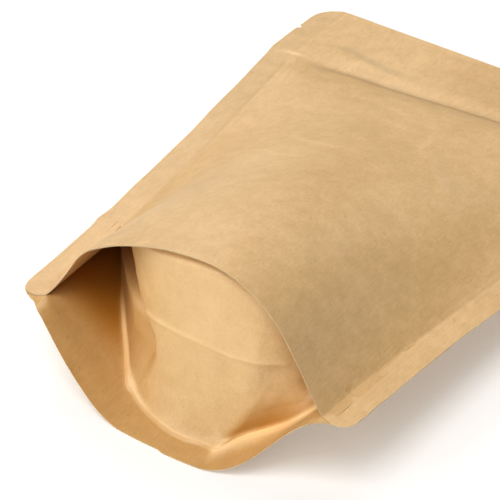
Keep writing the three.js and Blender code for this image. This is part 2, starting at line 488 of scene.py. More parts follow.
across_front = np.clip(front_points[..., 0] / seal_inner(front_points[..., 1]), -1, 1)
front_sealed = seal_line(across_front, FRONT_LIP)
front_freedom = panel_freedom(front_points, *(front_sealed + up for up in ABOVE_GUSSET_SEAL))
back_freedom = panel_freedom(back_points, *BACK_FREE_FROM)
print("the front panel is free from", round(float(front_sealed.min()), 1), "mm up")

# %% [markdown]
# Darker lines are painted shade: along the two lines of the zip, with a painted shade
# under the lower one, along the inner lines of the seals, and a little over the whole
# left seal. Handling leaves fine pale ones, and left of the zip a bright streak is a
# painted highlight.

# %% Painted shade along the zip and the seals
ZIP_LINE_FADES = (48, 58)
# painted shade along the lower zip line with a painted shade fading below it, and along the upper
# line
ZIP_LOW_PAINTED_SHADE = 0.34
ZIP_LOW_WIDTH = 1.3
ZIP_SHADE = 0.2
ZIP_SHADE_REACH = 4
ZIP_HIGH_PAINTED_SHADE = 0.3
ZIP_HIGH_WIDTH = 1.7
ZIP_HIGH_LOSS = 0.7  # the upper line is weaker to the right
ZIP_HIGH_WEAKENS = (-36, -18)
# painted shade along the inner lines of the side seals, and a little over the whole left seal
SEAL_LINE_PAINTED_SHADE = [(0.22, 0, 0.45), (0.08, -2.4, 0.5)]
SEAL_MARKS_START = (35, 60)
LEFT_SEAL_PAINTED_SHADE = 0.1


# painted shade: darker along both zip lines, and fading below the lower one
def zip_painted_shade(x, y):
    low = y - zip_low_line(x)
    shade = np.exp(np.minimum(low, 0) / ZIP_SHADE_REACH) * (low < 0)
    lower = ZIP_LOW_PAINTED_SHADE * bump(low, 0, ZIP_LOW_WIDTH) + ZIP_SHADE * shade
    upper = ZIP_HIGH_PAINTED_SHADE * bump(y - zip_high_line(x), 0, ZIP_HIGH_WIDTH)
    fading = 1 - ZIP_HIGH_LOSS * ease(x, *ZIP_HIGH_WEAKENS)
    return (lower + upper * fading) * (1 - ease(np.abs(x), *ZIP_LINE_FADES))


# painted shade: darker along the seals' inner lines, and a little over the left seal
def seal_painted_shade(x, y):
    past = np.abs(x) - seal_inner(y)
    left_seal_painted_shade = LEFT_SEAL_PAINTED_SHADE * ease(-x - seal_inner(y), 0, 1)
    return left_seal_painted_shade + bumps(past, SEAL_LINE_PAINTED_SHADE) * plateau(y, *SEAL_MARKS_START, *NEAR_ZIP)


# %% Marks of handling, and a painted highlight
HANDLED = 0.35
LIGHT_CREASES = [  # each from one (x, y) place to another
    (-19.0, 132.0, -3.0, 129.5), (4.0, 124.0, 12.0, 104.0),
    (-30.0, 96.0, -8.0, 92.0), (-34.0, 84.0, -16.0, 80.0),
]
CREASE_WAVER = 0.8
CREASE_WAVE = 2.6
CREASE_WIDTH = 0.9
# a painted highlight: the streak left of the zip is painted paler
STREAK_HIGHLIGHT = 0.8  # a bright streak left of the zip
STREAK_ACROSS = (-61.5, 3.5)
STREAK_Y = 147.2
STREAK_SLOPE = 0.12
STREAK_X = -62
STREAK_WIDTH = 0.8


def light_crease(x, y, x_from, y_from, x_to, y_to):
    """A fine pale line where the paper was once creased, fading to both its ends."""
    length = math.hypot(x_to - x_from, y_to - y_from)
    along = ((x - x_from) * (x_to - x_from) + (y - y_from) * (y_to - y_from)) / length
    aside = ((x - x_from) * (y_to - y_from) - (y - y_from) * (x_to - x_from)) / length
    wavering = aside + CREASE_WAVER * np.sin(along / CREASE_WAVE)
    return bump(wavering, 0, CREASE_WIDTH) * bump(along, length / 2, length / 2)


# worn creases and the painted highlight raise the number, the painted shade of the zip and seal
# lines lowers it
def panel_wear_and_painted_light(points):
    x, y = points[..., 0], points[..., 1]
    streak_line = STREAK_Y + STREAK_SLOPE * (x - STREAK_X)
    streak = STREAK_HIGHLIGHT * bump(y, streak_line, STREAK_WIDTH) * bump(x, *STREAK_ACROSS)
    handled = HANDLED * sum(light_crease(x, y, *ends) for ends in LIGHT_CREASES)
    return streak + handled - zip_painted_shade(x, y) - seal_painted_shade(x, y)


front_panel = sheet_mesh("front_panel", front_points, True, front_freedom,
                         panel_wear_and_painted_light(front_points))
back_panel = sheet_mesh("back_panel", back_points, False, back_freedom,
                        panel_wear_and_painted_light(back_points))

# %% [markdown]
# ## The gusset
#
# The gusset is one sheet. It starts at the cut edge of the back skirt, lies sealed
# on that skirt up to a curved line, swells out between the skirts, and is sealed
# to the front skirt in the same way. Building it as one run of points from edge to
# edge keeps the fold at the curved line soft, as folded paper is.
#
# Across the mouth a point is known by t, from -1 at the left seal to 1 at the right
# one, and up the belly by w, from 0 on the back skirt to 1 under the front skirt.

# %% Lines of the gusset
CREASE_AT = 0.505
CREASE_RISES = [(0.035, 1, -0.1, 0.3), (0.06, 1, 0.3, 0.6)]
LEFT_FOLD = [  # where the pleat runs: (w, t) places
    (0.0, -0.38), (0.15, -0.32), (0.28, -0.275), (0.4, -0.3), (0.5, -0.41), (0.58, -0.52),
    (0.68, -0.62), (0.9, -0.7), (1.0, -0.72),
]
BACK_SEAL_RUN = [  # how far up the back skirt the seal line runs: (t, y) places
    (-1.05, 44.6), (-1.0, 40.0), (-0.9, 32.6), (-0.8, 25.7), (-0.7, 19.4), (-0.6, 13.5),
    (-0.5, 6.8), (-0.45, 3.5), (-0.4, 2.8), (-0.3, 0.5), (-0.2, -1.6), (-0.1, -3.1),
    (0.0, -4.2), (0.1, -4.1), (0.2, -3.1), (0.27, -3.7), (0.32, -3.5), (0.36, 0.8),
    (0.4, 3.1), (0.45, 4.6), (0.5, 6.1), (0.55, 7.3), (0.6, 7.8), (0.7, 7.0), (0.8, 7.0),
    (0.85, 9.0), (0.9, 13.5), (0.95, 22.5), (1.0, 40.0), (1.05, 57.0),
]
SEAL_RUN_SOFT = 0.02
SEAL_RUN_SOFTENS = 0.5
SEAL_RUN_SOFTENS_TO = 0.4


def crease_height(t):
    """How far up the belly its old middle fold runs."""
    return CREASE_AT + steps(t, CREASE_RISES)


def back_seal(t, w):
    """The seal line on the back skirt, which higher up the belly is followed less sharply."""
    soft = SEAL_RUN_SOFT + SEAL_RUN_SOFTENS * np.minimum(w, SEAL_RUN_SOFTENS_TO)
    return soft_line(t, BACK_SEAL_RUN, soft)


print("the seal line's lowest place is y", min(y for _, y in BACK_SEAL_RUN))

# %% Relief of the belly
HIGHER = (0.42, 0.72)  # between these the pleat turns into a flank
FOLD_SOFT = (0.045, 0.16)  # how softly it steps down, low and high on the belly
FOLD_STEP = (-0.8, 1.2)
FOLD_REACHES = (0.24, 1.8)
LEFT_FOLD_DEPTH = 4.0
LEFT_FOLD_AROUND = (0.3, 0.2)
LEFT_FLANK_DEPTH = 24.0
MIDDLE_CREASE_DEPTHS = (0.6, 3.0)
MIDDLE_CREASE_DEEPENS = (-0.1, 0.6)
MIDDLE_CREASE_REACH = 0.4
OVERHANG = 1.6
OVERHANG_AROUND = (0.2, 0.2)
OVERHANG_STARTS = (0.22, 0.4)
BAND_SLANT = 0.7  # the dark band at the lower right leans by this


def left_fold(t, w):
    """The pleat left of the belly: a sharp step down to its left, and higher up a flank."""
    left_of = np.interp(w, *zip(*LEFT_FOLD)) - t
    higher = ease(w, *HIGHER)
    step = ease(left_of / mix(*FOLD_SOFT, higher), *FOLD_STEP)
    back_again = 1 - np.clip(left_of / mix(*FOLD_REACHES, higher), 0, 1)
    depth = LEFT_FOLD_DEPTH * bump(w, *LEFT_FOLD_AROUND) + LEFT_FLANK_DEPTH * higher
    return depth * step * back_again


def belly_relief(t, w):
    """How far the belly is set back from its smooth form, in millimetres."""
    near_crease = np.maximum(0, 1 - np.abs(w - crease_height(t)) / MIDDLE_CREASE_REACH)
    crease = near_crease * mix(*MIDDLE_CREASE_DEPTHS, ease(t, *MIDDLE_CREASE_DEEPENS))
    right_of = ease(t - BAND_SLANT * w, *OVERHANG_STARTS)
    overhang = OVERHANG * bump(w, *OVERHANG_AROUND) * right_of
    return left_fold(t, w) - crease - overhang


# %% Places on the gusset
SWELL_CHANGES = (0.25, 0.5)
HELD_POWER = 6


def gusset_y(t, w):
    side = np.abs(t)
    roundness = np.where(t < 0, GUSSET_ROUND, GUSSET_ROUND_RIGHT)
    belly = mix(GUSSET_FRONT, GUSSET_DEPTH, side**roundness)
    swell = mix(GUSSET_SWELL, GUSSET_SWELL_RIGHT, ease(t, *SWELL_CHANGES))
    rising = mix(back_seal(t, w), belly, 1 - (1 - w) ** swell)
    held = 1 - side**HELD_POWER
    tuck = (seal_line(t, FRONT_LIP) - belly) * ease(w, GUSSET_TUCK, 1)
    return rising + tuck + belly_relief(t, w) * np.clip(held, 0, 1)


def on_hollow(t, y, w):
    """A point at a share w of the way from the back skirt up to the front skirt."""
    x = t * seal_inner(y)
    low = back_height(x, y) + 2 * PANEL
    high = front_height(x, y) - 2 * PANEL
    middle = (low + high) / 2
    low = np.minimum(low, middle)
    high = np.maximum(high, middle)
    return np.stack([x, y, mix(low, high, w)], axis=-1)


print("the belly's crease lies", round(float(on_hollow(0.0, 8.0, CREASE_AT)[2]), 1), "mm up")

# %% [markdown]
# The seal line itself stands up as a thin ridge on the left. On the right the skirt
# rises to it as a flat facet a few millimetres wide, which catches the light.

# %% Ridge and facet
RIDGE_HEIGHT = 1.2
RIDGE_WIDTH = 1.4
RIDGE_LEAST = 0.5
RIDGE_GROWS = (0.1, 0.4)
RIDGE_ENDS_LEFT = (0.7, 0.85)
RIDGE_ENDS_RIGHT = (0.25, 0.4)
FACET_WIDTH = 7.0
FACET_PAST_SEAL = 0.5
FACET_FADE = 2.2  # how fast its height fades up the belly
FACET_SOFT = 0.025
FACET_RUN = [
    (0.24, 0.0), (0.3, 0.9), (0.34, 1.8), (0.45, 2.6), (0.55, 1.9), (0.65, 1.0),
    (0.8, 0.2), (1.0, 0.0),
]


def facet_height(t):
    return soft_line(t, FACET_RUN, FACET_SOFT)


def ridge_height(t):
    left = mix(RIDGE_LEAST, 1.0, ease(-t, *RIDGE_GROWS))
    ends = (1 - ease(-t, *RIDGE_ENDS_LEFT)) * (1 - ease(t, *RIDGE_ENDS_RIGHT))
    return RIDGE_HEIGHT * left * ends


# %% Gusset run, from the back edge to the front edge
GUSSET_REACH = 1.05
GUSSET_COLUMNS = 236
SKIRT_STEPS = 44
SKIRT_CROWDING = 1.6  # the steps stand closer towards the seal line
BELLY_STEPS = 84
BELLY_CROWDING = 1.4
FRONT_SKIRT_STEPS = 12
FOLD_PASSES = 8
FOLD_REACH = 3.0
ACROSS = np.linspace(-GUSSET_REACH, GUSSET_REACH, GUSSET_COLUMNS)[None, :]
RISE = np.linspace(0, 1, BELLY_STEPS)[:, None] ** BELLY_CROWDING


def soften_folds(points, folds):
    """Rounds the run off near each fold line, and leaves the rest as it is."""
    step = np.arange(len(points))
    near = sum(bump(step, fold, FOLD_REACH) for fold in folds)[:, None, None]
    near = np.clip(near, 0, 1)
    for _ in range(FOLD_PASSES):
        smooth = points.copy()
        smooth[1:-1] = (points[:-2] + 2 * points[1:-1] + points[2:]) / 4
        points = mix(points, smooth, near)
    return points


def back_skirt():
    from_seal = 1 - np.linspace(0, 1, SKIRT_STEPS, endpoint=False)[:, None]
    climb = 1 - from_seal**SKIRT_CROWDING
    edge = back_edge(ACROSS * seal_inner(0.0))
    seal = gusset_y(ACROSS, 0.0)
    skirt = on_hollow(ACROSS, mix(edge, seal, climb), 0.0)
    to_seal = (1 - climb) * (seal - edge)
    ramp = ease(-to_seal, -FACET_WIDTH, FACET_PAST_SEAL)
    ridge = ridge_height(ACROSS) * ease(-to_seal, -RIDGE_WIDTH, 0)
    skirt[..., 2] += facet_height(ACROSS) * ramp + ridge
    return skirt


def open_belly():
    belly = on_hollow(ACROSS, gusset_y(ACROSS, RISE), RISE)
    above_seal = RISE * (belly[-1, :, 2] - belly[0, :, 2])
    facet = facet_height(ACROSS) * np.exp(-((above_seal / FACET_FADE) ** 2))
    ridge = ridge_height(ACROSS) * np.exp(-((above_seal / RIDGE_WIDTH) ** 2))
    belly[..., 2] += facet + ridge
    return belly


def front_skirt():
    fall = np.linspace(1, 0, FRONT_SKIRT_STEPS + 1)[1:, None]
    edge = front_edge(ACROSS * seal_inner(0.0))
    return on_hollow(ACROSS, mix(edge, gusset_y(ACROSS, 1.0), fall), 1.0)


gusset_run = np.concatenate([back_skirt(), open_belly(), front_skirt()])
gusset_run = soften_folds(gusset_run, [SKIRT_STEPS, SKIRT_STEPS + BELLY_STEPS - 1])
print("the gusset's run has", len(gusset_run), "steps")

# %% [markdown]
# The gusset needs its own numbers. Along the ridge of the seal, where it was folded, it is
# partly worn pale and partly given a painted highlight; the facet gets a painted highlight
# and the belly painted light. Inside the hollow, painted shade makes it a deeper, redder brown.

# %% Wear and painted highlight along the seal line
# the ridge along the seal line is partly worn pale and partly a painted highlight
WORN_LEFT = (0.1, 0.35, 0.66, 0.8)
WORN_RIGHT = (0.24, 0.32, 0.9, 1.0)
WORN_MIDDLE = (0.2, 0.4)
MIDDLE_WEAR_AND_HIGHLIGHT = 0.5
RIGHT_WEAR_AND_HIGHLIGHT = 0.9
WORN_WIDTHS = (0.7, 1.6)
WORN_WIDENS = (0.36, 0.46)
RIGHT_WORN_WIDTH = 1.7
# painted highlight on the facet at the lower right, which faces the light
FACET_PAINTED_HIGHLIGHT = 0.5
FACET_HIGHLIGHT_WIDTH = 6
BELLY_WORN_SHARE = 0.8
BELLY_WORN_MOST = 1.4


def seal_wear_and_highlight(to_seal, above_seal):
    """How worn and how brightened by painted highlight the skirt is before the seal line, and the
    belly above it.
    """
    right = plateau(ACROSS, *WORN_RIGHT)
    middle = MIDDLE_WEAR_AND_HIGHLIGHT * (1 - ease(np.abs(ACROSS), *WORN_MIDDLE))
    wear = np.maximum(np.maximum(plateau(-ACROSS, *WORN_LEFT), middle), RIGHT_WEAR_AND_HIGHLIGHT * right)
    wide = mix(*WORN_WIDTHS, ease(-ACROSS, *WORN_WIDENS)) + RIGHT_WORN_WIDTH * right
    facet = FACET_PAINTED_HIGHLIGHT * right * ease(-to_seal, -FACET_HIGHLIGHT_WIDTH, 0)
    on_skirt = wear * bump(to_seal, 0, wide) + facet
    belly_wide = BELLY_WORN_SHARE * np.minimum(wide, BELLY_WORN_MOST)
    return on_skirt, wear * bump(above_seal, 0, belly_wide)


# %% Painted shade inside the hollow
# painted shade: how far each place inside the hollow is painted a deeper, redder brown
STRIP_PAINTED_SHADE = 0.4  # the strip left of the pleat
STRIP_STARTS = (-0.02, 0.03)
STRIP_AROUND = (0.3, 0.3)
FLANK_STARTS = (-0.2, 0.08)
FLANK_RISES = (0.44, 0.7)
BAND_PAINTED_SHADE = 0.95  # the band at the lower right, in the shade of the belly
BAND_STARTS = (0.24, 0.34)
BAND_AROUND = (0.0, 0.27)
CAVITY_ACROSS = (0.4, 0.75)
CAVITY_INWARDS = (-1, 17)
SKIRT_PAINTED_SHADE = 0.2
UNDER_FRONT_PAINTED_SHADE = 0.25


# painted shade on the belly: the strip left of the pleat, the flank and the band at the lower
# right
def belly_painted_shade():
    left_of = np.interp(RISE, *zip(*LEFT_FOLD)) - ACROSS
    strip = STRIP_PAINTED_SHADE * ease(left_of, *STRIP_STARTS) * bump(RISE, *STRIP_AROUND)
    flank = ease(left_of, *FLANK_STARTS) * ease(RISE, *FLANK_RISES)
    right_of = ease(ACROSS - BAND_SLANT * RISE, *BAND_STARTS)
    band = BAND_PAINTED_SHADE * right_of * bump(RISE, *BAND_AROUND)
    return np.maximum(np.maximum(strip, flank), band)


# painted shade on the back skirt, strongest in the cavity at the left
def skirt_painted_shade(skirt_y):
    cavity = ease(-ACROSS, *CAVITY_ACROSS) * ease(skirt_y, *CAVITY_INWARDS)
    return np.maximum(SKIRT_PAINTED_SHADE, cavity)


# %% Numbers on the gusset's points
BELLY_FREE = (0.03, 0.15, 0.85, 0.96)
BELLY_HELD_AT_SIDES = (0.7, 0.95)
RIDGE_HIDES_PAINTED_SHADE = 0.7
# painted light: the belly is painted paler all over, and more at its upper left
BELLY_PAINTED_LIGHT = 0.08
UPPER_PAINTED_LIGHT = 0.2
UPPER_STARTS = (0.1, 0.55)
UPPER_LOSS = 0.8
UPPER_ENDS = (0.2, 0.6)
on_front_skirt = np.ones((FRONT_SKIRT_STEPS, GUSSET_COLUMNS))


def gusset_freedom():
    sides = 1 - ease(np.abs(ACROSS), *BELLY_HELD_AT_SIDES)
    held_below = np.zeros((SKIRT_STEPS, GUSSET_COLUMNS))
    return np.concatenate([held_below, plateau(RISE, *BELLY_FREE) * sides, 0 * on_front_skirt])


def gusset_wear_and_painted_light(run):
    """The gusset's two other numbers: wear with painted light, and painted shade inside the
    hollow.
    """
    skirt_y = run[:SKIRT_STEPS, :, 1]
    belly_z = run[SKIRT_STEPS:SKIRT_STEPS + BELLY_STEPS, :, 2]
    on_skirt, on_belly = seal_wear_and_highlight(run[SKIRT_STEPS, :, 1] - skirt_y, belly_z - belly_z[0])
    painted_shade_below = skirt_painted_shade(skirt_y) * (1 - on_skirt.clip(0, 1))
    painted_shade_on_belly = belly_painted_shade() * (1 - RIDGE_HIDES_PAINTED_SHADE * on_belly)
    upper = ease(RISE, *UPPER_STARTS) * (1 - UPPER_LOSS * ease(ACROSS, *UPPER_ENDS))
    # painted light on the belly, left out where painted shade lies
    painted_belly_light = (BELLY_PAINTED_LIGHT + UPPER_PAINTED_LIGHT * upper) * (1 - painted_shade_on_belly)
    worn = np.concatenate([on_skirt, np.maximum(on_belly, painted_belly_light), 0 * on_front_skirt])
    painted_shade = np.concatenate([painted_shade_below, painted_shade_on_belly, UNDER_FRONT_PAINTED_SHADE * on_front_skirt])
    return worn, painted_shade


# the first number is wear with painted highlight and painted light, the second painted shade
worn, painted_shade = gusset_wear_and_painted_light(gusset_run)
gusset = sheet_mesh("bottom_gusset", gusset_run, True, gusset_freedom(), worn, painted_shade)

# %% [markdown]
# ## A small class for node sums
#
# Node trees are easier to read as sums than as lists of links. `Wire` holds one
# output of a node and understands + - * / between wires and numbers, and `Board`
# adds any other node from its type, its settings and what goes into its sockets.


# %% Wires and boards
def find_socket(sockets, key):
    if isinstance(key, int):
        return sockets[key]
    for socket in sockets:
        if socket.identifier == key:
            return socket
    return sockets[key]


class Wire:
    """One output of a node, ready for Python sums."""

    def __init__(self, board, socket):
        self.board = board
        self.socket = socket

    def maths(self, operation, *values):
        return self.board.node("ShaderNodeMath", {"operation": operation}, dict(enumerate(values)))

    def __add__(self, other):
        return self.maths("ADD", self, other)

    def __radd__(self, other):
        return self.maths("ADD", other, self)

    def __sub__(self, other):
        return self.maths("SUBTRACT", self, other)

    def __rsub__(self, other):
        return self.maths("SUBTRACT", other, self)

    def __mul__(self, other):
        return self.maths("MULTIPLY", self, other)

    def __rmul__(self, other):
        return self.maths("MULTIPLY", other, self)

    def __truediv__(self, other):
        return self.maths("DIVIDE", self, other)

    def __rtruediv__(self, other):
        return self.maths("DIVIDE", other, self)

    def exponent(self):
        return self.maths("EXPONENT", self)

    def within(self, low, high):
        return self.maths("MINIMUM", self.maths("MAXIMUM", self, low), high)


class Board:
    """A node tree that nodes are added to."""

    def __init__(self, tree):
        self.tree = tree

    def node(self, kind, settings=None, sockets=None, output=0):
        """Adds a node; sockets holds values or wires by name, identifier or number."""
        made = self.tree.nodes.new(kind)
        for name, value in (settings or {}).items():
            setattr(made, name, value)
        for key, value in (sockets or {}).items():
            socket = find_socket(made.inputs, key)
            if isinstance(value, Wire):
                self.tree.links.new(value.socket, socket)
            else:
                socket.default_value = value
        return Wire(self, find_socket(made.outputs, output)) if len(made.outputs) else made


print("node helpers ready")


# %% [markdown]
# ## Kraft paper
#
# Natural kraft is long brown wood fibre, pressed but not coated. Close up it shows
# fibres lying every way, further off a slow mottle where the pulp lay thicker, and
# a few dark specks of bark. All of it comes from noise on the object's own
# coordinates, so it stays on the paper. The sheets' own numbers do the rest: worn
# creases are paler, painted highlights are paler too, painted shade darkens the lines
# of the zip and the seals, and painted shade makes the inside of the hollow a deeper,
# redder brown.

# %% Nodes that paper needs
FIBRE_SQUEEZE = (1, 0.16, 1)


def new_material(name):
    material = bpy.data.materials.new(name)
    material.use_nodes = True
    material.node_tree.nodes.clear()
    return material, Board(material.node_tree)


def noise(board, place, size_mm, detail, roughness=0.5):
    """A noise between about 0 and 1 whose features are about size_mm across."""
    return board.node("ShaderNodeTexNoise", None,
                      {"Vector": place, "Scale": 1 / (size_mm * MM), "Detail": detail,
                       "Roughness": roughness})


def fibre_noise(board, place, degrees, size_mm, detail):
    """Noise on coordinates turned about Z and squeezed, so that it draws fibres."""
    turned = board.node("ShaderNodeMapping", None,
                        {"Vector": place, "Rotation": (0, 0, math.radians(degrees)),
                         "Scale": FIBRE_SQUEEZE})
    return noise(board, turned, size_mm, detail)


def blend(board, share, first, second):
    return board.node("ShaderNodeMix", {"data_type": "RGBA", "blend_type": "MIX"},
                      {"Factor_Float": share, "A_Color": first, "B_Color": second},
                      "Result_Color")


def sheet_number(board, name):
    """One of the numbers that each sheet carries on its points."""
    return board.node("ShaderNodeAttribute", {"attribute_name": name}, None, "Fac")


def show_skin(board, sockets):
    """Adds the skin that a material shows; sockets says what it looks like."""
    skin = board.node("ShaderNodeBsdfPrincipled", None, sockets)
    board.node("ShaderNodeOutputMaterial", None, {"Surface": skin})


# %% Paper material
KRAFT_PALE = (0.750, 0.512, 0.250, 1)
KRAFT_DEEP = (0.588, 0.370, 0.148, 1)
KRAFT_BARK = (0.270, 0.145, 0.055, 1)
# pale for wear and for painted highlights
KRAFT_WEAR_AND_HIGHLIGHT = (0.880, 0.620, 0.320, 1)
# painted shade along the zip and seal lines
KRAFT_PAINTED_LINE_SHADE = (0.330, 0.200, 0.085, 1)
# painted shade inside the hollow
KRAFT_PAINTED_HOLLOW_SHADE = (0.480, 0.215, 0.015, 1)
NOISE_MIDDLE = 0.5
CLOUD_SIZE, CLOUD_SHARE = 30, 0.9
MOTTLE_SIZE, MOTTLE_SHARE = 5, 1.1
GRAIN_SIZE, GRAIN_SHARE = 0.9, 0.7
FIBRE_SIZE, FIBRE_SHARE = 0.6, 0.5
FIBRE_DEGREES, CROSSING_DEGREES = 24, -58
FINE_ROUGHNESS = 0.6
SPECK_SIZE, SPECK_FROM, SPECK_CONTRAST, SPECK_MOST = 1.6, 0.75, 7, 0.3
GRAIN_RELIEF, MOTTLE_RELIEF = 0.8, 0.5
RELIEF_STRENGTH, RELIEF_DEPTH = 0.35, 0.06
PAPER_ROUGHNESS, GRAIN_ROUGHNESS = 0.42, 0.16


def kraft_paper():
    material, board = new_material("kraft_paper")
    place = board.node("ShaderNodeTexCoord", None, None, "Object")
    clouds = noise(board, place, CLOUD_SIZE, 3)
    mottle = noise(board, place, MOTTLE_SIZE, 4, FINE_ROUGHNESS)
    grain = noise(board, place, GRAIN_SIZE, 3, FINE_ROUGHNESS)
    fibres = fibre_noise(board, place, FIBRE_DEGREES, FIBRE_SIZE, 2)
    crossing = fibre_noise(board, place, CROSSING_DEGREES, FIBRE_SIZE, 2)
    specks = noise(board, place, SPECK_SIZE, 1)
    tone = NOISE_MIDDLE
    for layer, share in ((clouds, CLOUD_SHARE), (mottle, MOTTLE_SHARE), (grain, GRAIN_SHARE),
                         (fibres, FIBRE_SHARE), (crossing, FIBRE_SHARE)):
        tone = tone + (layer - NOISE_MIDDLE) * share
    tone = tone.within(0, 1)
    bark = ((specks - SPECK_FROM) * SPECK_CONTRAST).within(0, SPECK_MOST)
    crease = sheet_number(board, "crease")
    colour = blend(board, tone, KRAFT_DEEP, KRAFT_PALE)
    colour = blend(board, bark, colour, KRAFT_BARK)
    # painted shade inside the hollow: a deeper, redder brown
    painted_shade = sheet_number(board, "painted_shade")
    colour = blend(board, painted_shade.within(0, 1), colour, KRAFT_PAINTED_HOLLOW_SHADE)
    # wear and painted highlight paler, painted shade along lines darker
    colour = blend(board, crease.within(0, 1), colour, KRAFT_WEAR_AND_HIGHLIGHT)
    colour = blend(board, (crease * -1.0).within(0, 1), colour, KRAFT_PAINTED_LINE_SHADE)
    relief = fibres + crossing + grain * GRAIN_RELIEF + mottle * MOTTLE_RELIEF
    raised = board.node("ShaderNodeBump", None,
                        {"Strength": RELIEF_STRENGTH, "Distance": RELIEF_DEPTH * MM,
                         "Height": relief}, "Normal")
    show_skin(board, {"Base Color": colour, "Normal": raised, "Specular IOR Level": 1.0,
                      "Roughness": PAPER_ROUGHNESS + grain * GRAIN_ROUGHNESS})
    return material


PAPER = kraft_paper()
print("material", PAPER.name)

# %% Cut edge material
EDGE_BROWNS = ((0.56, 0.40, 0.22, 1), (0.68, 0.52, 0.32, 1))
EDGE_FILMS = ((0.66, 0.54, 0.38, 1), (0.88, 0.80, 0.66, 1))
FRAY_SIZE, FRAY_ROUGHNESS = 0.5, 0.7
FILM_PATCH_SIZE, FILM_CONTRAST = 14, 5
CORNER_FADE, CORNER_FROM = 20, 2.0  # the film shows from 2 times 20 mm off the middle
CORNER_WEAR = 2
EDGE_ROUGHNESS, FRAY_CHANGE = 0.6, 0.2


def cut_edge(name, pale_from):
    """The cut side of the laminate; pale_from says from which noise its pale film shows."""
    material, board = new_material(name)
    place = board.node("ShaderNodeTexCoord", None, None, "Object")
    frayed = noise(board, place, FRAY_SIZE, 3, FRAY_ROUGHNESS)
    across = board.node("ShaderNodeSeparateXYZ", None, {"Vector": place}, "X")
    corner = across.maths("ABSOLUTE", across) / (CORNER_FADE * MM) - CORNER_FROM
    patches = (noise(board, place, FILM_PATCH_SIZE, 1) - pale_from) * FILM_CONTRAST
    worn = (patches + corner.within(0, 1) * CORNER_WEAR).within(0, 1)
    brown = blend(board, frayed, *EDGE_BROWNS)
    pale = blend(board, frayed, *EDGE_FILMS)
    show_skin(board, {"Base Color": blend(board, worn, brown, pale),
                      "Roughness": EDGE_ROUGHNESS + frayed * FRAY_CHANGE})
    return material


BROWN_EDGE = cut_edge("brown_cut_edge", 0.6)
PALE_EDGE = cut_edge("pale_cut_edge", 0.35)
print("materials", BROWN_EDGE.name, PALE_EDGE.name)

# %% [markdown]
# ## Creases and buckles, with Geometry Nodes
#
# Paper that has been folded flat and blown up again keeps its creases, and it never
# lies quite smooth. Each crease follows a path, so it suits Geometry Nodes: the
# tree measures how far each point of the sheet is from the crease paths and lifts
# or sinks it by a soft profile. A slow noise adds the buckles where the paper is
# free. The tree also leaves a number on each point that says how worn the crease
# is, for the material.


# %% The crease tree
BUCKLE_DETAIL = 2.0


def stored_number(board, name):
    return board.node("GeometryNodeInputNamedAttribute", {"data_type": "FLOAT"}, {"Name": name})


def crease_tree():
    tree = bpy.data.node_groups.new("paper_creases", "GeometryNodeTree")
    face = tree.interface
    face.new_socket("Sheet", in_out="INPUT", socket_type="NodeSocketGeometry")
    face.new_socket("Paths", in_out="INPUT", socket_type="NodeSocketObject")
    for name in ("Height", "Width", "Wear", "Buckle depth", "Buckle size", "Seed"):
        face.new_socket(name, in_out="INPUT", socket_type="NodeSocketFloat")
    face.new_socket("Paper", in_out="INPUT", socket_type="NodeSocketMaterial")
    face.new_socket("Sheet", in_out="OUTPUT", socket_type="NodeSocketGeometry")
    board = Board(tree)
    given = tree.nodes.new("NodeGroupInput")
    take = {socket.name: Wire(board, socket) for socket in given.outputs if socket.name}
    paths = board.node("GeometryNodeObjectInfo", None, {"Object": take["Paths"]}, "Geometry")
    away = board.node("GeometryNodeProximity", {"target_element": "EDGES"},
                      {"Geometry": paths}, "Distance")
    share = away / take["Width"]
    crease = (share * share * -1.0).exponent()
    buckles = board.node("ShaderNodeTexNoise", {"noise_dimensions": "4D"},
                         {"W": take["Seed"], "Scale": 1.0 / take["Buckle size"],
                          "Detail": BUCKLE_DETAIL})
    free = stored_number(board, "freedom")
    lift = crease * take["Height"] + (buckles - NOISE_MIDDLE) * take["Buckle depth"] * free
    normal = board.node("GeometryNodeInputNormal")
    offset = board.node("ShaderNodeVectorMath", {"operation": "SCALE"}, {0: normal, "Scale": lift})
    moved = board.node("GeometryNodeSetPosition", None,
                       {"Geometry": take["Sheet"], "Offset": offset})
    worn_now = stored_number(board, "crease") + crease * take["Wear"]
    marked = board.node("GeometryNodeStoreNamedAttribute",
                        {"data_type": "FLOAT", "domain": "POINT"},
                        {"Geometry": moved, "Name": "crease", "Value": worn_now})
    whole = board.node("GeometryNodeRealizeInstances", None, {"Geometry": marked})
    dressed = board.node("GeometryNodeSetMaterial", None,
                         {"Geometry": whole, "Material": take["Paper"]})
    leave = tree.nodes.new("NodeGroupOutput")
    tree.links.new(dressed.socket, leave.inputs[0])
    return tree


creases = crease_tree()
print("crease tree has", len(creases.nodes), "nodes")


# %% [markdown]
# ## Crease paths
#
# Each path is a run of places on its sheet. Lines that the maker pressed in, such
# as the gusset's middle fold, are worked out from the shape; the few chance creases
# are placed one by one, after the photograph.


# %% Paths on the sheets
GUSSET_LINE_POINTS = 40
FRONT_LINE_POINTS = 24


def path_object(name, runs):
    """Runs of points, in millimetres, as one object of bare edges."""
    places = []
    edges = []
    for run in runs:
        first = len(places)
        places += [(x * MM, (y - ORIGIN_SHIFT) * MM, z * MM) for x, y, z in run]
        edges += [(first + i, first + i + 1) for i in range(len(run) - 1)]
    mesh = bpy.data.meshes.new(name)
    mesh.from_pydata(places, edges, [])
    return new_object(name, mesh)


def filled_in(places, points):
    """More points on the straight lines between the given places, as two rows of numbers."""
    share = np.linspace(0, len(places) - 1, points)
    return [np.interp(share, range(len(places)), row) for row in zip(*places)]


def gusset_line(places):
    """A crease on the gusset through (t, w) places."""
    t, w = filled_in(places, GUSSET_LINE_POINTS)
    return on_hollow(t, gusset_y(t, w), w).tolist()


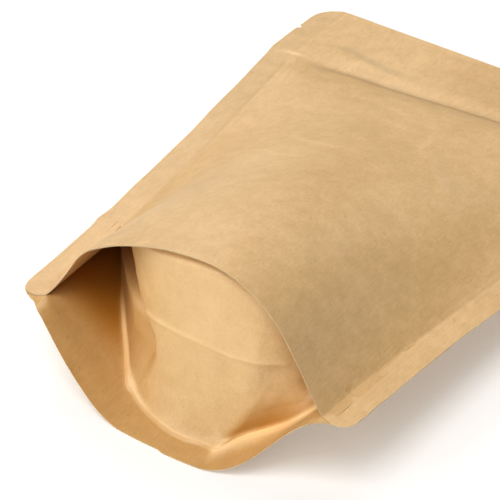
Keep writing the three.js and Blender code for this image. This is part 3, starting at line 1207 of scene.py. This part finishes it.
def front_line(places):
    """A crease on the front panel through (x, y) places."""
    x, y = filled_in(places, FRONT_LINE_POINTS)
    return np.stack([x, y, front_height(x, y)], axis=-1).tolist()


print("tools for crease paths ready")


# %% Pressing the creases in
def keep_result(piece, modifier):
    """Makes what a modifier shows the piece's own mesh, and removes the modifier."""
    layer = bpy.context.evaluated_depsgraph_get()
    result = bpy.data.meshes.new_from_object(piece.evaluated_get(layer))
    piece.modifiers.remove(modifier)
    old = piece.data
    piece.data = result
    bpy.data.meshes.remove(old)


def press(piece, runs, **sizes):
    """Runs the crease tree on a sheet and keeps the result as a plain mesh."""
    paths = path_object("crease_paths", runs)
    modifier = piece.modifiers.new("creases", "NODES")
    modifier.node_group = creases
    values = {"Paths": paths, "Paper": PAPER, **sizes}
    for item in creases.interface.items_tree:
        if item.in_out == "INPUT" and item.name in values:
            modifier[item.identifier] = values[item.name]
    keep_result(piece, modifier)
    bpy.data.objects.remove(paths)
    print(piece.name, "pressed:", len(piece.data.vertices), "points,", len(runs), "creases")


def crease_sizes(height, width, wear):
    """The crease tree's inputs for a crease, from millimetres."""
    return {"Height": height * MM, "Width": width * MM, "Wear": wear}


def buckle_sizes(depth, size, seed):
    """Its inputs for the buckles; without them the paper stays as it is."""
    return {"Buckle depth": depth * MM, "Buckle size": size * MM, "Seed": seed}


# %% Where the creases are
MIDDLE_FOLD = [(-0.37, CREASE_AT), (0.3, CREASE_AT), (0.45, 0.545), (0.62, 0.575)]
DENTS = [[(-14, 123), (2, 121)], [(11, 112), (20, 102), (28, 93)]]
CORNER_FOLDS = [[(51.5, 5), (48, 10.5)], [(46.5, 15.5), (46.8, 14)]]
BACK_PATH = [(-40, 120, 12), (40, 118, 12)]  # the tree needs one, though it lifts nothing
NO_BUCKLES = buckle_sizes(depth=0.0, size=20.0, seed=0.0)

press(gusset, [gusset_line(MIDDLE_FOLD)], **crease_sizes(height=0.25, width=0.7, wear=0.45),
      **buckle_sizes(depth=1.0, size=14, seed=3.0))
press(front_panel, [front_line(places) for places in DENTS],
      **crease_sizes(height=0.25, width=1.3, wear=0.12),
      **buckle_sizes(depth=1.2, size=30, seed=7.0))
press(front_panel, [front_line(places) for places in CORNER_FOLDS],
      **crease_sizes(height=-0.2, width=1.2, wear=0.0), **NO_BUCKLES)
press(back_panel, [BACK_PATH], **crease_sizes(height=0.0, width=1.0, wear=0.0),
      **buckle_sizes(depth=0.8, size=30, seed=11.0))

# %% [markdown]
# ## Thickness and cut edges
#
# Solidify gives each sheet its thickness inwards. Its rim is the cut edge of the
# laminate, so the rim gets a second material: brown core, or in places the pale film.


# %% Thickness
SHARP = math.radians(45)


def give_thickness(piece, thickness, edge):
    piece.data.materials.clear()
    piece.data.materials.append(PAPER)
    piece.data.materials.append(edge)
    modifier = piece.modifiers.new("thickness", "SOLIDIFY")
    modifier.thickness = thickness * MM
    modifier.offset = -1
    modifier.material_offset_rim = 1
    keep_result(piece, modifier)
    piece.data.shade_smooth()
    piece.data.set_sharp_from_angle(angle=SHARP)
    print(piece.name, "is", thickness, "mm thick,", len(piece.data.polygons), "faces")


for piece, edge in ((front_panel, BROWN_EDGE), (back_panel, PALE_EDGE), (gusset, BROWN_EDGE)):
    give_thickness(piece, PANEL, edge)
    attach(piece, "root")
    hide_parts("pouch")

# %% [markdown]
# ## Table, light and camera
#
# The pouch lies on a bright white sweep that glows a little, as a lit product table
# does. A ring of large soft boxes stands around it, so that no shadow has a hard edge.
# They are strongest in front and above and on the left. The lens sees from the lower
# right, and a display gamma below one keeps the white floor white without washing
# out the browns.

# %% White floor
FLOOR_SIZE = 8.0
FLOOR_GLOW = 0.3
FLOOR_WHITE = (0.7, 0.7, 0.7, 1)
floor_mesh = bpy.data.meshes.new("white_floor")
half = FLOOR_SIZE / 2
floor_corners = [(-half, -half, 0), (half, -half, 0), (half, half, 0), (-half, half, 0)]
floor_mesh.from_pydata(floor_corners, [], [(0, 1, 2, 3)])
floor = new_object("white_floor", floor_mesh)
floor_material, board = new_material("white_floor")
show_skin(board, {"Base Color": FLOOR_WHITE, "Roughness": 0.9, "Specular IOR Level": 0.1,
                  "Emission Color": (1, 1, 1, 1), "Emission Strength": FLOOR_GLOW})
floor.data.materials.append(floor_material)
print("floor", FLOOR_SIZE, "m")


# %% Lamps and surroundings
DISPLAY_GAMMA = 0.833
LAMP_DISTANCE = 1.6
LAMP_SIZE = 0.8
LAMPS = {  # azimuth and elevation in degrees, and watts
    "front_left_low_lamp": (225, 15, 5.3),
    "front_left_lamp": (225, 38, 2.6),
    "front_lamp": (270, 38, 5.9),
    "front_top_lamp": (270, 64, 10.0),
    "front_right_top_lamp": (315, 64, 4.6),
    "back_left_low_lamp": (135, 15, 1.3),
    "back_left_lamp": (135, 38, 6.1),
    "back_left_top_lamp": (135, 64, 2.9),
    "back_top_lamp": (90, 64, 3.1),
    "back_low_lamp": (90, 15, 3.9),
    "back_right_low_lamp": (45, 15, 2.4),
}


def soft_lamp(name, azimuth, elevation, watts):
    """A round soft box; the azimuth is counted from +X towards +Y."""
    turn, rise = math.radians(azimuth), math.radians(elevation)
    toward = Vector((math.cos(turn) * math.cos(rise), math.sin(turn) * math.cos(rise),
                     math.sin(rise)))
    lamp = bpy.data.lights.new(name, "AREA")
    lamp.shape = "DISK"
    lamp.size = LAMP_SIZE
    lamp.energy = watts
    holder = new_object(name, lamp)
    holder.location = toward * LAMP_DISTANCE
    holder.rotation_euler = toward.to_track_quat("Z", "Y").to_euler()
    print(name, watts, "W at", [round(c, 2) for c in holder.location])


for lamp_name, (azimuth, elevation, watts) in LAMPS.items():
    soft_lamp(lamp_name, azimuth, elevation, watts)
world = bpy.data.worlds.new("dim_surroundings")
bpy.context.scene.world = world
world.use_nodes = True
world.node_tree.nodes["Background"].inputs["Strength"].default_value = 0.0
bpy.context.scene.view_settings.view_transform = "Standard"
bpy.context.scene.view_settings.gamma = DISPLAY_GAMMA

# %% [markdown]
# The camera's place, aim and lens are those that lay the pouch's outline over the one
# traced on the photograph, worked out by least squares.

# %% Camera
PICTURE = 500  # pixels along a side of the square picture
SENSOR = 36.0
NEAREST_SEEN = 0.05  # metres
CAMERA_AZIMUTH = 36.465
CAMERA_ELEVATION = 39.100
CAMERA_ROLL = -2.538
CAMERA_DISTANCE = 901.0
CAMERA_AIM = (-25.26, 69.9, 4.52)
FOCAL_PIXELS = 3032.8


def place_camera():
    azimuth = math.radians(CAMERA_AZIMUTH)
    elevation = math.radians(CAMERA_ELEVATION)
    roll = math.radians(CAMERA_ROLL)
    outward = Vector((math.sin(azimuth) * math.cos(elevation),
                      -math.cos(azimuth) * math.cos(elevation), math.sin(elevation)))
    level = Vector((math.cos(azimuth), math.sin(azimuth), 0))
    upward = outward.cross(level)
    right = level * math.cos(roll) + upward * math.sin(roll)
    up = upward * math.cos(roll) - level * math.sin(roll)
    aim = Vector(CAMERA_AIM) - Vector((0, ORIGIN_SHIFT, 0))
    place = (aim + outward * CAMERA_DISTANCE) * MM
    lens = bpy.data.cameras.new("photo_camera")
    lens.sensor_width = SENSOR
    lens.lens = FOCAL_PIXELS / PICTURE * SENSOR
    lens.clip_start = NEAREST_SEEN
    camera = new_object("photo_camera", lens)
    turn = Matrix((right, up, outward)).transposed().to_4x4()
    camera.matrix_world = Matrix.Translation(place) @ turn
    bpy.context.scene.camera = camera
    print("camera at", [round(c, 3) for c in place], "lens", round(lens.lens, 1), "mm")


place_camera()
